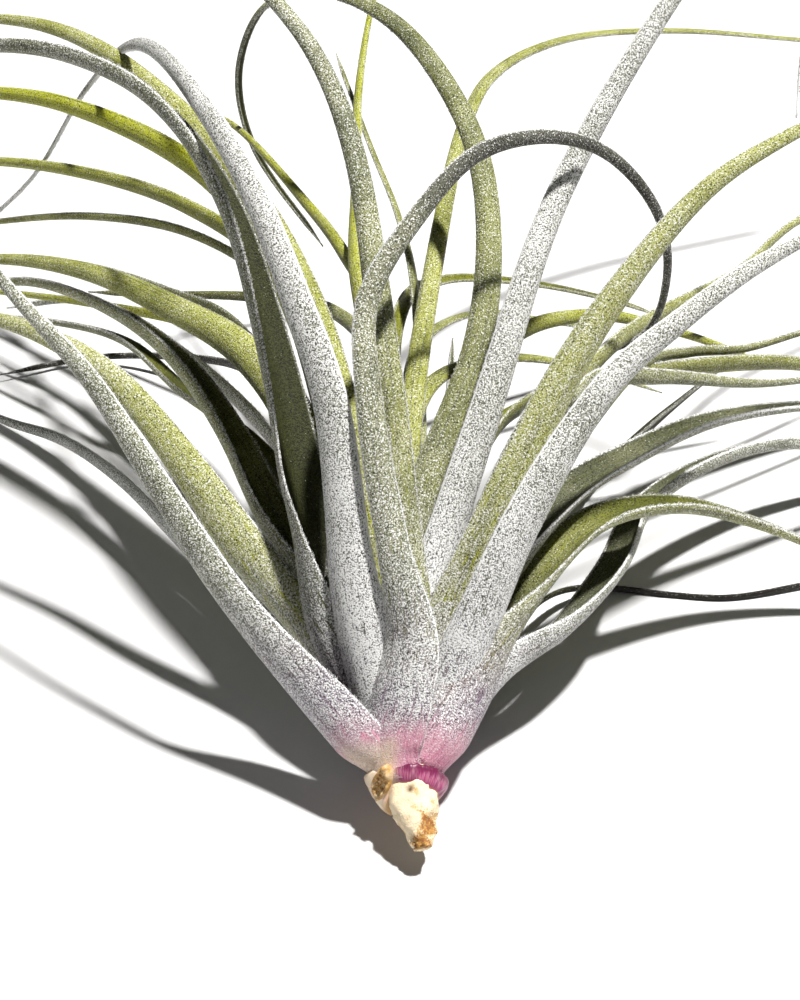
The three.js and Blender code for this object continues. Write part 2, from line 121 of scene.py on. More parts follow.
# The leaves from the outermost sheath inwards. A path lists points on the midrib beyond the root,
# wide is the flat width of the blade, and sheath is how much wider it is where it clasps the stem.
# Cover is how thickly silver scales lie on it, and green runs from olive to lime; the less green,
# the darker its channel, partly by its own tone and partly by painted shade. The value after green
# darkens the tip: withering, and on some leaves painted shade. Sheath and the usual values are
# listed only where a leaf differs.
LEAVES = {
    # Its dark arch is painted shade on the inner face there, besides withering.
    "leaf_curl": dict(
        finish="silver", wide=7.1, taper=1.4, turn=90, lean=25, sheath=6, cover=0.62, green=0.35,
        dryness_and_shade=0.9,
        path=[(-4.2, -9, 17.8), (-2.4, -6, 24.5), (0, -1.8, 34), (-2.2, 4, 46.5), (-5.8, 16, 67),
              (-6, 27, 78), (2, 38, 87), (11, 46, 93), (22, 52, 93), (33, 58, 87), (42, 60, 76),
              (46, 64, 61), (44, 67, 47), (34, 71, 38)],
    ),
    "leaf_left_front": dict(
        finish="silver", wide=11.5, lean=15, sheath=5.5, cover=0.68, green=0.3, dryness_and_shade=0,
        path=[(-19, -1, 24), (-31, 7, 39), (-41, 16, 52), (-51, 26, 64), (-63, 38, 71),
              (-73, 50, 75), (-82, 60, 73)],
    ),
    "leaf_right_front": dict(
        finish="lime", wide=15, taper=1, fold=1.4, lean=72, cover=0.45, green=0.5, dryness_and_shade=0,
        path=[(13.3, 1, 19.8), (20, 12, 27), (30, 24, 34), (45, 33, 32), (62, 40, 23), (80, 42, 13),
              (92, 40, 7)],
    ),
    "leaf_under_middle": dict(
        finish="olive", wide=7, cover=0.5, green=0.4, dryness_and_shade=0,
        path=[(0, 7, 0.3), (1, 17, 0.3), (3, 40, 2), (7, 80, 2), (10, 118, 0.3), (11, 138, 0.3)],
    ),
    "leaf_left_under": dict(
        finish="silver", wide=8.5, taper=0.8, lean=15, cover=0.95, green=0.2, dryness_and_shade=0.2,
        path=[(-15, 8, 15), (-30, 27, 15), (-46, 53, 12), (-57, 70, 10), (-72, 89, 6),
              (-87, 102, 2), (-104, 116, 0.5)],
    ),
    # Its near-black finish is painted shade on this thin tip lying on the surface.
    "leaf_right_under": dict(
        finish="olive", wide=3.2, cover=0.1, green=0.1, dryness_and_shade=1,
        path=[(16, 19, 11), (25, 38, 7), (33, 46, 3), (42, 48, 0.8), (50, 47, 0.4), (61, 46, 0.6),
              (75, 49, 1), (88, 53, 1)],
    ),
    # Its low cover, low green and darkened tip make it dark: painted shade among the right leaves.
    "leaf_under_right": dict(
        finish="olive", wide=5, cover=0.3, green=0.1, dryness_and_shade=0.6,
        path=[(9, 10, 4), (20, 42, 6), (36, 74, 5), (52, 100, 2), (63, 115, 0.3), (74, 128, 0.3)],
    ),
    "leaf_right_low": dict(
        finish="olive", wide=11.5, taper=0.5, fold=1.4, lean=40, sheath=1, cover=0.7, green=0.25,
        dryness_and_shade=0,
        path=[(16, 5, 19), (27, 15, 20), (37, 29, 22), (43, 43, 23), (54, 55, 23), (72, 69, 19),
              (96, 81, 8)],
    ),
    "leaf_broad_silver": dict(
        finish="silver", wide=11.4, taper=2.1, cover=1, green=0.12, dryness_and_shade=0.6,
        path=[(-7, -2, 23), (-9.3, 4, 37), (-12.8, 19, 65), (-18, 29, 77), (-24, 41, 87),
              (-33, 59, 94), (-48, 94, 91), (-65, 126, 68), (-82, 139, 41), (-104, 150, 18)],
    ),
    "leaf_right_speckled": dict(
        finish="silver", wide=13, taper=1.4, lean=-20, cover=0.9, green=0.15, dryness_and_shade=0.1,
        path=[(9, -1, 20), (18, 10, 46), (32, 23, 65), (43, 30, 72), (56, 39, 77), (73, 51, 79),
              (92, 66, 76)],
    ),
    "leaf_right_silver": dict(
        finish="silver", wide=8.6, taper=0.9, cover=0.95, green=0.15, dryness_and_shade=0.2,
        path=[(4, 12, 30), (14, 33, 56), (25, 54, 81), (43, 75, 105), (53, 86, 113), (62, 92, 113),
              (68, 91, 107), (69, 84, 97), (67, 74, 86)],
    ),
    "leaf_left_middle": dict(
        finish="lime", wide=13, lean=50, cover=0.5, green=0.8, dryness_and_shade=0,
        path=[(-19, 11, 26), (-28, 20, 35), (-38, 29, 46), (-50, 40, 55), (-63, 49, 58),
              (-80, 61, 55), (-91, 69, 49)],
    ),
    # Its low green darkens its channel, which is partly painted shade.
    "leaf_shadowed": dict(
        finish="silver", wide=18, taper=1.3, fold=1.4, turn=60, lean=-80, sheath=-2, cover=0.55,
        green=0.1, dryness_and_shade=0.1,
        path=[(-16, 8, 29), (-18.8, 22, 43), (-24.2, 39, 63), (-31.5, 54, 81), (-43, 68, 91),
              (-62, 84, 93), (-84, 99, 87), (-109, 120, 69)],
    ),
    "leaf_right_lime": dict(
        finish="lime", wide=13, taper=1.3, lean=-25, cover=0.5, green=0.75, dryness_and_shade=0,
        path=[(8, 7, 26), (17, 19, 48), (29, 32, 68), (47, 46, 86), (61, 54, 92), (78, 66, 93),
              (88, 74, 90)],
    ),
    "leaf_tall_silver": dict(
        finish="silver", wide=8.2, cover=0.55, green=0.3, bare=0.15, dryness_and_shade=0,
        path=[(-1, 16, 39), (-4, 35, 64), (-9, 58, 88), (-16, 71, 100), (-30, 90, 108),
              (-45, 125, 103)],
    ),
    "leaf_right_inner": dict(
        finish="silver", wide=15, taper=1.1, fold=1.3, lean=75, cover=0.7, green=0.3, dryness_and_shade=0,
        path=[(19, 18, 32), (27, 28, 38), (39, 37, 40), (53, 47, 40), (72, 58, 36), (95, 72, 26)],
    ),
    "leaf_left_channel": dict(
        finish="olive", wide=18, taper=1.2, fold=1.5, lean=-45, sheath=-3, cover=0.5, green=0.5,
        dryness_and_shade=0.1,
        path=[(-21, 21, 30), (-32, 41, 42), (-43, 57, 48), (-58, 74, 48), (-75, 89, 44),
              (-96, 103, 31)],
    ),
    "leaf_left_wide": dict(
        finish="lime", wide=12, lean=30, cover=0.3, green=0.6, dryness_and_shade=0,
        path=[(-18, 36, 45), (-29, 54, 51), (-45, 72, 50), (-62, 89, 47), (-83, 106, 40),
              (-107, 123, 27)],
    ),
    "leaf_right_middle": dict(
        finish="silver", wide=10.5, taper=1.5, lean=35, cover=0.5, green=0.45, dryness_and_shade=0.1,
        path=[(10, 10, 30), (25, 35, 45), (32, 48, 48), (47, 62, 40), (70, 78, 28), (96, 96, 19)],
    ),
    "leaf_arch_thin": dict(
        finish="lime", wide=7.2, cover=0.35, green=0.35, dryness_and_shade=0.2,
        path=[(1, 20, 38), (12, 45, 59), (14, 59, 71), (12, 71, 82), (5, 84, 91), (-4, 98, 95),
              (-16, 112, 94), (-29, 127, 84), (-35, 134, 67), (-33, 138, 49), (-19, 146, 20)],
    ),
    "leaf_right_green": dict(
        finish="olive", wide=13, taper=0.6, lean=55, cover=0.35, green=0.6, dryness_and_shade=0,
        path=[(13, 38, 41), (24, 53, 41), (42, 67, 36), (80, 91, 23), (106, 103, 8)],
    ),
    "leaf_left_low_olive": dict(
        finish="olive", wide=10, lean=-40, cover=0.4, green=0.35, dryness_and_shade=0.1,
        path=[(-24, 41, 35), (-42, 61, 38), (-54, 77, 38), (-72, 94, 32), (-95, 111, 23)],
    ),
    "leaf_left_pale": dict(
        finish="silver", wide=9, lean=20, cover=0.75, green=0.3, dryness_and_shade=0,
        path=[(-21, 46, 30), (-31, 65, 31), (-49, 90, 30), (-69, 112, 26), (-88, 124, 17)],
    ),
    "leaf_left_olive": dict(
        finish="olive", wide=8, lean=-30, cover=0.3, green=0.45, dryness_and_shade=0,
        path=[(-22, 50, 44), (-32, 71, 46), (-47, 89, 42), (-63, 108, 36), (-84, 126, 29)],
    ),
    "leaf_left_lime": dict(
        finish="lime", wide=6, cover=0.2, green=0.9, dryness_and_shade=0,
        path=[(-19, 54, 41), (-40, 82, 38), (-60, 98, 33), (-83, 115, 26), (-96, 125, 21)],
    ),
    "leaf_left_thin": dict(
        finish="olive", wide=6, cover=0.25, green=0.5, dryness_and_shade=0.1,
        path=[(-23, 75, 47), (-30, 88, 48), (-45, 104, 47), (-67, 123, 40), (-91, 141, 29),
              (-103, 150, 22)],
    ),
    "leaf_arch_olive": dict(
        finish="olive", wide=9.5, taper=1, cover=0.35, green=0.7, dryness_and_shade=0,
        path=[(-10.5, 30, 50), (-17.5, 50, 64), (-31, 74, 76), (-58, 108, 84), (-81, 130, 81),
              (-108, 149, 70)],
    ),
    "leaf_arch_lime": dict(
        finish="lime", wide=10.5, taper=0.8, cover=0.1, green=0.85, dryness_and_shade=0,
        path=[(-19, 56, 52), (-36, 88, 65), (-70, 122, 66), (-100, 143, 59), (-114, 153, 52)],
    ),
    "leaf_arch_low": dict(
        finish="olive", wide=10, taper=0.9, cover=0.2, green=0.7, dryness_and_shade=0,
        path=[(-23, 74, 50), (-45, 105, 52), (-89, 142, 43), (-115, 160, 31)],
    ),
    "leaf_back_tall": dict(
        finish="olive", wide=5, cover=0.3, green=0.6, dryness_and_shade=0,
        path=[(0, 30, 45), (5, 70, 61), (12, 108, 71), (19, 127, 72), (35, 147, 70), (61, 165, 64),
              (91, 179, 56), (107, 186, 52)],
    ),
    "leaf_back_olive_right": dict(
        finish="olive", wide=5.5, cover=0.3, green=0.6, dryness_and_shade=0.1,
        path=[(0, 34, 46), (5, 49, 49), (19, 62, 45), (37, 72, 35), (50, 78, 26)],
    ),
    "leaf_back_arch_right": dict(
        finish="lime", wide=6.5, cover=0.25, green=0.8, dryness_and_shade=0,
        path=[(12, 47, 46), (21, 65, 48), (37, 79, 43), (54, 89, 33), (73, 97, 21)],
    ),
    "leaf_back_low_right": dict(
        finish="olive", wide=5, cover=0.3, green=0.5, dryness_and_shade=0.2,
        path=[(0, 40, 46), (4, 76, 41), (15, 92, 36), (25, 98, 31), (41, 107, 22)],
    ),
    "leaf_back_low": dict(
        finish="olive", wide=5, cover=0.3, green=0.6, dryness_and_shade=0.1,
        path=[(-2, 70, 47), (7, 95, 41), (26, 109, 32), (47, 121, 20), (57, 125, 14)],
    ),
    "leaf_back_upright": dict(
        finish="lime", wide=6, cover=0.2, green=0.95, dryness_and_shade=0,
        path=[(-8, 58, 53), (-10, 74, 58), (-10, 95, 63), (-10, 118, 69), (-8, 144, 75),
              (-4, 173, 79)],
    ),
    "leaf_back_lime": dict(
        finish="lime", wide=6, cover=0.2, green=0.95, dryness_and_shade=0.1,
        path=[(-7, 64, 53), (-13, 84, 55), (-21, 105, 54), (-34, 133, 54), (-42, 147, 53)],
    ),
    "leaf_back_thin": dict(
        finish="olive", wide=5, cover=0.3, green=0.5, dryness_and_shade=0.2,
        path=[(2, 69, 52), (-1, 90, 57), (-7, 114, 61), (-15, 150, 65)],
    ),
    "leaf_back_pale": dict(
        finish="lime", wide=7.5, cover=0.4, green=0.6, dryness_and_shade=0,
        path=[(18, 34, 38), (35, 59, 46), (45, 73, 45), (65, 94, 43), (81, 114, 44),
              (108, 137, 41)],
    ),
    "leaf_back_right_wide": dict(
        finish="olive", wide=7.5, cover=0.4, green=0.5, dryness_and_shade=0.1,
        path=[(22, 36, 29), (44, 67, 39), (55, 78, 35), (67, 87, 30), (80, 96, 28), (95, 107, 26)],
    ),
    "leaf_back_left": dict(
        finish="olive", wide=5.5, cover=0.3, green=0.6, dryness_and_shade=0.1,
        path=[(-15, 54, 44), (-18, 74, 49), (-22, 93, 50), (-29, 112, 46)],
    ),
    "leaf_back_low_left": dict(
        finish="olive", wide=5.5, cover=0.3, green=0.4, dryness_and_shade=0.5,
        path=[(-4, 50, 44), (-14, 85, 40), (-33, 106, 31), (-53, 120, 23), (-71, 131, 17)],
    ),
    # Its near-black finish is painted shade on this strand low at the back left.
    "leaf_back_dark_left": dict(
        finish="olive", wide=5.5, cover=0.3, green=0.2, dryness_and_shade=0.95,
        path=[(-9, 40, 32), (-28, 84, 23), (-43, 115, 9), (-70, 127, 2), (-91, 120, 2)],
    ),
}


def smoothstep(value, low=0.0, high=1.0):
    share = np.clip((value - low) / (high - low), 0, 1)
    return share * share * (3 - 2 * share)


def unit(vectors):
    return vectors / np.linalg.norm(vectors, axis=-1, keepdims=True)


def even_curve(points, spacing):
    """Even steps along a smooth curve through the points: places, directions and length."""
    knots = np.array(points, float)
    knots = np.vstack([2 * knots[0] - knots[1], knots, 2 * knots[-1] - knots[-2]])
    time = np.linspace(0, 1, SPLINE_STEPS, endpoint=False)[:, None]
    dense = []
    for start in range(len(knots) - 3):
        before, a, b, after = knots[start : start + 4]
        gap_in = np.linalg.norm(a - before) ** 0.5
        gap = np.linalg.norm(b - a) ** 0.5
        gap_out = np.linalg.norm(after - b) ** 0.5
        leave = gap * ((a - before) / gap_in - (b - before) / (gap_in + gap) + (b - a) / gap)
        reach = gap * ((b - a) / gap - (after - a) / (gap + gap_out) + (after - b) / gap_out)
        cubic = 2 * a - 2 * b + leave + reach
        square = 3 * b - 3 * a - 2 * leave - reach
        dense.append(a + leave * time + square * time**2 + cubic * time**3)
    dense = np.vstack([*dense, knots[-2]])
    run = np.append(0, np.cumsum(np.linalg.norm(np.diff(dense, axis=0), axis=1)))
    length = run[-1]
    even = np.linspace(0, length, int(length / spacing) + 2)
    centres = np.stack([np.interp(even, run, dense[:, axis]) for axis in range(3)], axis=1)
    return centres, unit(np.gradient(centres, axis=0)), length


def root_of(leaf, share):
    """Where a leaf grows: its place, the way to the stem's middle, and the distance to it."""
    height = ROOT_LOW + (ROOT_HIGH - ROOT_LOW) * share
    radius = SHEATH_RADIUS + (INNER_SHEATH_RADIUS - SHEATH_RADIUS) * math.sqrt(share)
    first = np.array(leaf["path"][0]) - COLLAR
    outward = unit(first - AXIS * first.dot(AXIS))
    return COLLAR + AXIS * height + outward * radius, -outward, radius


def flat_width(leaf, length, share):
    sheath = 1 - smoothstep(share * length, SHEATH_BROAD, SHEATH_END)
    blade = TIP_WIDTH + (leaf["wide"] - TIP_WIDTH) * (1 - share) ** leaf["taper"]
    return blade + leaf["sheath"] * sheath


def curl_angle(leaf, radius, length, share):
    """Half the angle through which the section curls: round the stem, open, then closing."""
    at_root = flat_width(leaf, length, 0.0) / (2 * radius)
    blade = BLADE_CURL * leaf["fold"]
    middle = MIDDLE_CURL * leaf["fold"]
    sheath_share = SHEATH_END / length
    curl = at_root + (blade - at_root) * smoothstep(share, 0, sheath_share)
    curl += (middle - blade) * smoothstep(share, sheath_share, MIDDLE_SHARE)
    return curl + (TIP_CURL - middle) * smoothstep(share, MIDDLE_SHARE, 1)


def carried(start, tangents):
    """The start direction carried along the curve without turning about it."""
    directions = []
    current = start
    for tangent in tangents:
        current = unit(current - tangent * current.dot(tangent))
        directions.append(current)
    return np.array(directions)


def blade_form(leaf, share_of_order):
    """The rings of a leaf's section, and for each point how far along and across it lies."""
    root, inward, radius_at_root = root_of(leaf, share_of_order)
    centres, tangents, length = even_curve([root, *leaf["path"]], STATION_SPACING)
    share = np.linspace(0, 1, len(centres))
    inward = carried(inward, tangents)
    twist = math.radians(leaf["turn"]) * smoothstep(share)
    twist = twist + math.radians(leaf["lean"]) * smoothstep(length * share, LEAN_START, LEAN_END)
    twist = twist[:, None]
    facing = inward * np.cos(twist) + np.cross(tangents, inward) * np.sin(twist)
    across = np.cross(facing, tangents)
    point = smoothstep(length * (1 - share), 0, POINT_LENGTH)
    point = POINT_SIZE + (1 - POINT_SIZE) * point
    width = flat_width(leaf, length, share) * point
    curl = curl_angle(leaf, radius_at_root, length, share)
    radius = width / (2 * curl)
    half = (BLADE_THICKNESS + (EDGE_THICKNESS - BLADE_THICKNESS) * share) / 2 * point
    outer_u = np.sin(np.linspace(-math.pi / 2, math.pi / 2, FACE_POINTS))
    ring_u = np.append(outer_u, outer_u[-2:0:-1])
    side = np.append(np.ones(FACE_POINTS), -np.ones(FACE_POINTS - 2))
    bulge = np.sqrt(1 - np.abs(ring_u) ** MARGIN_SQUARENESS) * side
    size = np.maximum(radius[:, None] + half[:, None] * bulge, radius[:, None] * HOLLOW_SHARE)
    gather = ROOT_GATHER + (1 - ROOT_GATHER) * smoothstep(share * length, 0, GATHER_LENGTH)
    size = size * gather[:, None]
    angle = curl[:, None] * ring_u
    along = np.repeat((share * length)[:, None], len(ring_u), axis=1)
    flare = MARGIN_FLARE * np.abs(ring_u) ** FLARE_SHARPNESS
    flare = flare * (1 - smoothstep(along, SHEATH_BROAD, SHEATH_END))
    size = size + flare * smoothstep(along, 0, GATHER_LENGTH)
    outward = across[:, None, :] * np.sin(angle)[:, :, None]
    outward = outward - facing[:, None, :] * np.cos(angle)[:, :, None]
    rings = (centres + facing * radius[:, None])[:, None, :] + outward * size[:, :, None]
    inner = np.clip(0.5 - bulge, 0, 1)
    form = {
        "along": along,
        "share": np.repeat(share[:, None], len(ring_u), axis=1),
        "across": np.repeat(ring_u[None], len(centres), axis=0),
        "inner": np.repeat(inner[None], len(centres), axis=0),
        "from_edge": (1 - np.abs(ring_u))[None] * width[:, None] / 2,
        "rise": (rings - COLLAR) @ AXIS,
    }
    return rings, outward, form


def fuzz(rings, outward, form, seed):
    """Pale scales that stand off the margins and the outer face, each a closed sliver."""
    chance = np.random.default_rng(seed)
    count = int(form["along"][-1, 0] * SCALES_PER_MM)
    station = chance.integers(1, len(rings) - 2, count)
    at_margin = chance.random(count) < SCALES_AT_MARGINS
    margin = chance.choice((0, FACE_POINTS - 1), count)
    point = np.where(at_margin, margin, chance.integers(1, FACE_POINTS - 1, count))
    beside = np.where(at_margin, point, point + chance.choice((-1, 1), count))
    ahead = chance.random(count)[:, None]
    sideways = chance.random(count)[:, None] * 0.5
    here = rings[station, point] * (1 - ahead) + rings[station + 1, point] * ahead
    there = rings[station, beside] * (1 - ahead) + rings[station + 1, beside] * ahead
    foot = here * (1 - sideways) + there * sideways
    tangent = unit(rings[station + 1, point] - rings[station, point])
    away = outward[station, point]
    past_margin = np.cross(tangent, away) * np.where(margin == 0, -1, 1)[:, None]
    off_margin = past_margin * MARGIN_SCALE_PAST + away * MARGIN_SCALE_OFF
    lift = np.where(at_margin[:, None], off_margin, away * FACE_SCALE_OFF)
    way = unit(lift + tangent * SCALE_FORWARD + chance.normal(0, SCALE_SPREAD, (count, 3)))
    reach = SCALE_LENGTH * chance.uniform(SCALE_SHORTEST, SCALE_LONGEST, (count, 1))
    reach = reach * np.where(at_margin, 1, FACE_SCALE_SHARE)[:, None]
    one = unit(np.cross(way, tangent + 0.01)) * SCALE_THICKNESS
    two = np.cross(way, one)
    base = foot - way * SCALE_THICKNESS
    corners = [base + one, base - one / 2 + two, base - one / 2 - two, foot + way * reach]
    points = np.stack(corners, axis=1)
    first = rings.shape[0] * rings.shape[1] + 4 * np.arange(count)[:, None]
    sides = np.array([(0, 2, 1), (0, 1, 3), (1, 2, 3), (2, 0, 3)])
    faces = (first[:, :, None] + sides[None]).reshape(-1, 3)
    values = {key: np.repeat(numbers[station, point], 4) for key, numbers in form.items()}
    return points, [tuple(face) for face in faces.tolist()], values


def tube_faces(stations, size):
    """Faces between rings of points, with each end closed strip by strip."""
    faces = []
    for station in range(stations - 1):
        for k in range(size):
            a = station * size + k
            b = station * size + (k + 1) % size
            faces.append((a, a + size, b + size, b))
    last = (stations - 1) * size
    for k in range(size // 2):
        corners = [k, k + 1, size - k - 1, (size - k) % size]
        cap = list(dict.fromkeys(corners))
        faces.append(tuple(cap))
        faces.append(tuple(last + corner for corner in reversed(cap)))
    return faces


def placed(points):
    """Points in metres in the model's frame, none of them under the surface."""
    points = np.array(points, float).reshape(-1, 3) - PLANT_MIDDLE
    points[:, 2] = np.maximum(points[:, 2], 0)
    return points * MM


def add_piece(name, points, faces, material, values=None):
    mesh = bpy.data.meshes.new(name)
    mesh.from_pydata(placed(points).tolist(), [], faces)
    for key, numbers in (values or {}).items():
        layer = mesh.attributes.new(key, "FLOAT", "POINT")
        layer.data.foreach_set("value", np.asarray(numbers, np.float32).ravel())
    mesh.polygons.foreach_set("use_smooth", [True] * len(mesh.polygons))
    mesh.materials.append(material)
    mesh.update()
    piece = bpy.data.objects.new(name, mesh)
    bpy.context.collection.objects.link(piece)
    return piece


def linear(red, green, blue):
    """A colour given as it looks on a screen, from 0 to 255, as the shader takes it."""
    channels = np.array((red, green, blue)) / 255
    bright = ((channels + 0.055) / 1.055) ** 2.4
    return (*np.where(channels > 0.04045, bright, channels / 12.92), 1)


class Finish:
    """A material's nodes, added one at a time."""

    def __init__(self, name):
        self.material = bpy.data.materials.new(name)
        self.material.use_nodes = True
        self.nodes = self.material.node_tree.nodes
        self.shader = self.nodes["Principled BSDF"]

    def feed(self, socket, value):
        if isinstance(value, bpy.types.NodeSocket):
            self.material.node_tree.links.new(value, socket)
        else:
            socket.default_value = value

    def attribute(self, name):
        node = self.nodes.new("ShaderNodeAttribute")
        node.attribute_name = name
        return node.outputs["Fac"]

    def place(self):
        """The place on the piece, in millimetres."""
        node = self.nodes.new("ShaderNodeVectorMath")
        node.operation = "SCALE"
        self.feed(node.inputs[0], self.nodes.new("ShaderNodeTexCoord").outputs["Object"])
        node.inputs["Scale"].default_value = 1 / MM
        return node.outputs[0]

    def vector(self, x, y, z):
        node = self.nodes.new("ShaderNodeCombineXYZ")
        for socket, value in zip(node.inputs, (x, y, z)):
            self.feed(socket, value)
        return node.outputs[0]

    def math(self, operation, a, b=0.0, clamp=False):
        node = self.nodes.new("ShaderNodeMath")
        node.operation = operation
        node.use_clamp = clamp
        self.feed(node.inputs[0], a)
        self.feed(node.inputs[1], b)
        return node.outputs[0]

    def add(self, a, b):
        return self.math("ADD", a, b)

    def less(self, a, b):
        return self.math("SUBTRACT", a, b)

    def times(self, a, b, clamp=False):
        return self.math("MULTIPLY", a, b, clamp)

    def noise(self, place, size, detail=2.0, roughness=0.5):
        """Soft random values from about 0.2 to 0.8, in blotches of about this size."""
        node = self.nodes.new("ShaderNodeTexNoise")
        self.feed(node.inputs["Vector"], place)
        node.inputs["Scale"].default_value = 1 / size
        node.inputs["Detail"].default_value = detail
        node.inputs["Roughness"].default_value = roughness
        return node.outputs["Fac"]

    def band(self, value, start, end, low=0.0, high=1.0):
        """Low up to the start, high past the end, and smooth between them."""
        node = self.nodes.new("ShaderNodeMapRange")
        node.interpolation_type = "SMOOTHSTEP"
        keys = ("Value", "From Min", "From Max", "To Min", "To Max")
        for key, number in zip(keys, (value, start, end, low, high)):
            self.feed(node.inputs[key], number)
        return node.outputs["Result"]

    def axis(self, place, which):
        """One of the three numbers of a place."""
        node = self.nodes.new("ShaderNodeSeparateXYZ")
        self.feed(node.inputs[0], place)
        return node.outputs[which]

    def mix(self, share, a, b):
        node = self.nodes.new("ShaderNodeMix")
        node.data_type = "RGBA"
        self.feed(node.inputs["Factor"], share)
        self.feed(node.inputs[6], a)
        self.feed(node.inputs[7], b)
        return node.outputs[2]

    def bump(self, height, depth, strength):
        node = self.nodes.new("ShaderNodeBump")
        node.inputs["Distance"].default_value = depth * MM
        node.inputs["Strength"].default_value = strength
        self.feed(node.inputs["Height"], height)
        self.feed(self.shader.inputs["Normal"], node.outputs[0])

    def finish(self, colour, roughness, shine=0.5):
        self.feed(self.shader.inputs["Base Color"], colour)
        self.feed(self.shader.inputs["Roughness"], roughness)
        self.shader.inputs["Specular IOR Level"].default_value = shine
        return self.material


LIME = linear(172, 176, 38)
OLIVE = linear(90, 96, 28)
DEEP_OLIVE = linear(28, 31, 10)
SHADE_SPECK_OLIVE = linear(124, 126, 92)
DRIED_BROWN_AND_SHADE = linear(34, 30, 26)
SCALE_WHITE = linear(222, 222, 220)
SCALE_GREY = linear(142, 142, 138)
SCALE_VIOLET = linear(166, 162, 174)
SCALE_GAP_SHADE = linear(26, 26, 24)
LILAC = linear(140, 118, 146)
PINK = linear(220, 170, 184)
ROSE = linear(200, 130, 152)
MAGENTA = linear(136, 36, 88)
PURPLE = linear(96, 18, 58)
CREAM = linear(224, 206, 174)
OCHRE = linear(176, 134, 68)
TORN_BROWN = linear(140, 88, 42)
PIT_BROWN = linear(52, 34, 20)
FLOOR_GREY = linear(204, 204, 205)
FLOOR_LIGHT = linear(210, 210, 211)

# Between which lengths along a leaf its looks change
VIOLET_LENGTHS = (14, 60)
MARGIN_LENGTHS = (20, 45)
DASH_LENGTHS = (25, 55)
BARE_LENGTHS = (45, 110)

# From which share of its length a leaf's tip darkens, by withering and on some leaves by painted
# shade, and how much earlier on a leaf that darkens more
TIP_DARK_SHARES = (0.55, 0.85)
TIP_DARK_LEAD = 0.3

# Between which heights above the collar each tint of the base fades out, the scales set in and the
# painted shade between the scales darkens. The heights are stretched, and patches of the tissue make
# them uneven.
MAGENTA_HEIGHTS = (5, 10)
CREAM_HEIGHTS = (7, 12)
ROSE_HEIGHTS = (10, 20)
LILAC_HEIGHTS = (16, 50)
SCALE_HEIGHTS = (6, 18)
GAP_SHADE_HEIGHTS = (8, 16)
HEIGHT_STRETCH = 1.7
HEIGHT_UNEVENNESS = 9

# The sizes of the tissue's patches and of the two grains that make up the scales, and the lengths
# from a margin over which its scales thin out
PATCH_SIZE = 9
COARSE_GRAIN = 0.27
FINE_GRAIN = 0.14
MARGIN_WIDTHS = (0.15, 0.5)


